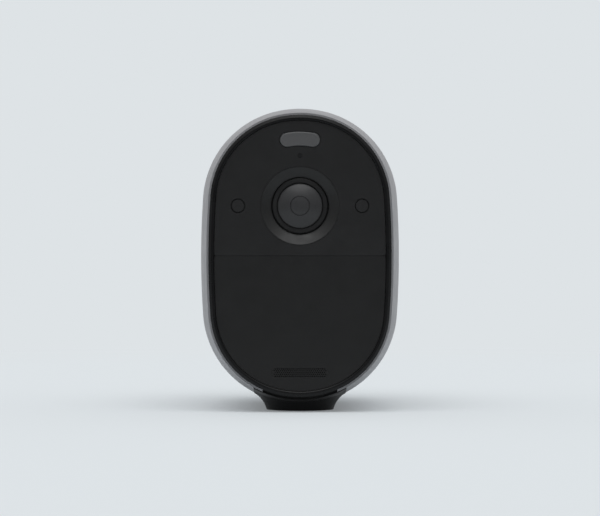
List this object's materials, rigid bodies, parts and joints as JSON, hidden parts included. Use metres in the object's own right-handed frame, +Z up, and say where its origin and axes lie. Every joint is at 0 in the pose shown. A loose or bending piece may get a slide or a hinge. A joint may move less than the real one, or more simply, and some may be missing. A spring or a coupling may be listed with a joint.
{
  "type": "wire-free spotlight security camera",
  "caption": "Upright oval security camera with a dark face, one lens, a small arched spotlight, a light shell and a black flared foot.",
  "frame": {"origin": "on the standing surface, under the middle of the body", "axes": "+Z up, the camera looks along -Y, +X to the right as seen from in front"},
  "size_m": [0.0518, 0.089, 0.0781],
  "materials": {
    "shell": "light grey, fine spark-eroded texture",
    "bezel": "black satin gloss",
    "seal": "matt",
    "window_panel": "dark polished window",
    "lens_panel": "dark satin film",
    "grille": "perforated, matt",
    "frame_plastic": "moulded",
    "cloth": "fine woven",
    "cone": "pressed",
    "steel": "zinc plated",
    "cone_ring": "black satin",
    "barrel": "black anodised",
    "optical_glass": "coated",
    "filter_glass": "cyan filter",
    "copper": "enamelled wire",
    "diffuser": "smoked translucent",
    "reflector": "metallised",
    "board": "solder mask",
    "lamp": "phosphor",
    "aluminium": "extruded",
    "small_window": "infrared clear, visibly black",
    "light_pipe": "smoked clear",
    "chip": "moulded package",
    "can": "nickel plated",
    "cell": "shrink sleeve",
    "brass": "knurled",
    "foot": "black satin",
    "rubber": "matt",
    "button": "satin"
  },
  "bodies": {
    "root": {"antenna": "can", "aperture_stop": "barrel", "battery_cells": "cell", "battery_sleeve": "frame_plastic", "battery_tabs": "can", "board_components": "chip", "board_screws": "steel", "charging_board": "board", "charging_socket": "can", "chassis_screws": "steel", "filter_motor_coils": "copper", "filter_motor_yoke": "steel", "filter_tray": "frame_plastic", "foot": "foot", "foot_bracket": "can", "foot_pad": "rubber", "foot_screws": "steel", "front_bezel": "bezel", "front_carrier": "frame_plastic", "front_gasket": "seal", "front_window": "window_panel", "heat_sink": "aluminium", "housing_screws": "steel", "image_sensor": "chip", "infrared_boards": "board", "infrared_lamps": "lamp", "infrared_shrouds": "frame_plastic", "infrared_windows": "small_window", "inner_chassis": "frame_plastic", "lens_barrel": "barrel", "lens_cone": "cone_ring", "lens_front_glass": "optical_glass", "lens_holder": "frame_plastic", "lens_inner_glasses": "optical_glass", "lens_retaining_ring": "barrel", "light_sensor": "chip", "main_board": "board", "microphone": "can", "motion_lens": "lens_panel", "motion_sensor": "can", "mount_insert": "brass", "pairing_switch": "chip", "rear_housing": "shell", "sensor_light_pipe": "light_pipe", "shield_can": "can", "speaker_cone": "cone", "speaker_frame": "frame_plastic", "speaker_grille": "grille", "speaker_magnet": "steel", "speaker_mesh": "cloth", "spotlight_board": "board", "spotlight_lamps": "lamp", "spotlight_lens": "diffuser", "spotlight_reflector": "reflector"},
    "port_cover": {"port_cover": "rubber"},
    "pairing_button": {"pairing_button": "button"},
    "filter_rotor": {"filter_rotor": "steel"},
    "filter_carriage": {"filter_slider": "frame_plastic", "infrared_cut_pane": "filter_glass", "clear_pane": "optical_glass"}
  },
  "joints": [
    {"name": "port_cover_hinge", "type": "hinge", "parent": "root", "child": "port_cover", "pos_m": [0, -0.0226, 0.00095], "axis": [1, 0, 0], "range_deg": [0, 110]},
    {"name": "pairing_button_press", "type": "slide", "parent": "root", "child": "pairing_button", "axis": [0, 0, 1], "range_m": [0, 0.0006], "stiffness_N_per_m": 300, "springref_m": -0.0005},
    {"name": "filter_rotor_swing", "type": "hinge", "parent": "root", "child": "filter_rotor", "pos_m": [0, -0.0215, 0.0403], "axis": [0, -1, 0], "range_deg": [0, 67.25]},
    {"name": "filter_carriage_slide", "type": "slide", "parent": "root", "child": "filter_carriage", "axis": [-1, 0, 0], "range_m": [0, 0.0072]}
  ],
  "couplings": [
    {"joint": "filter_rotor_swing", "follows": "filter_carriage_slide", "rad_per_m": 162.9}
  ]
}
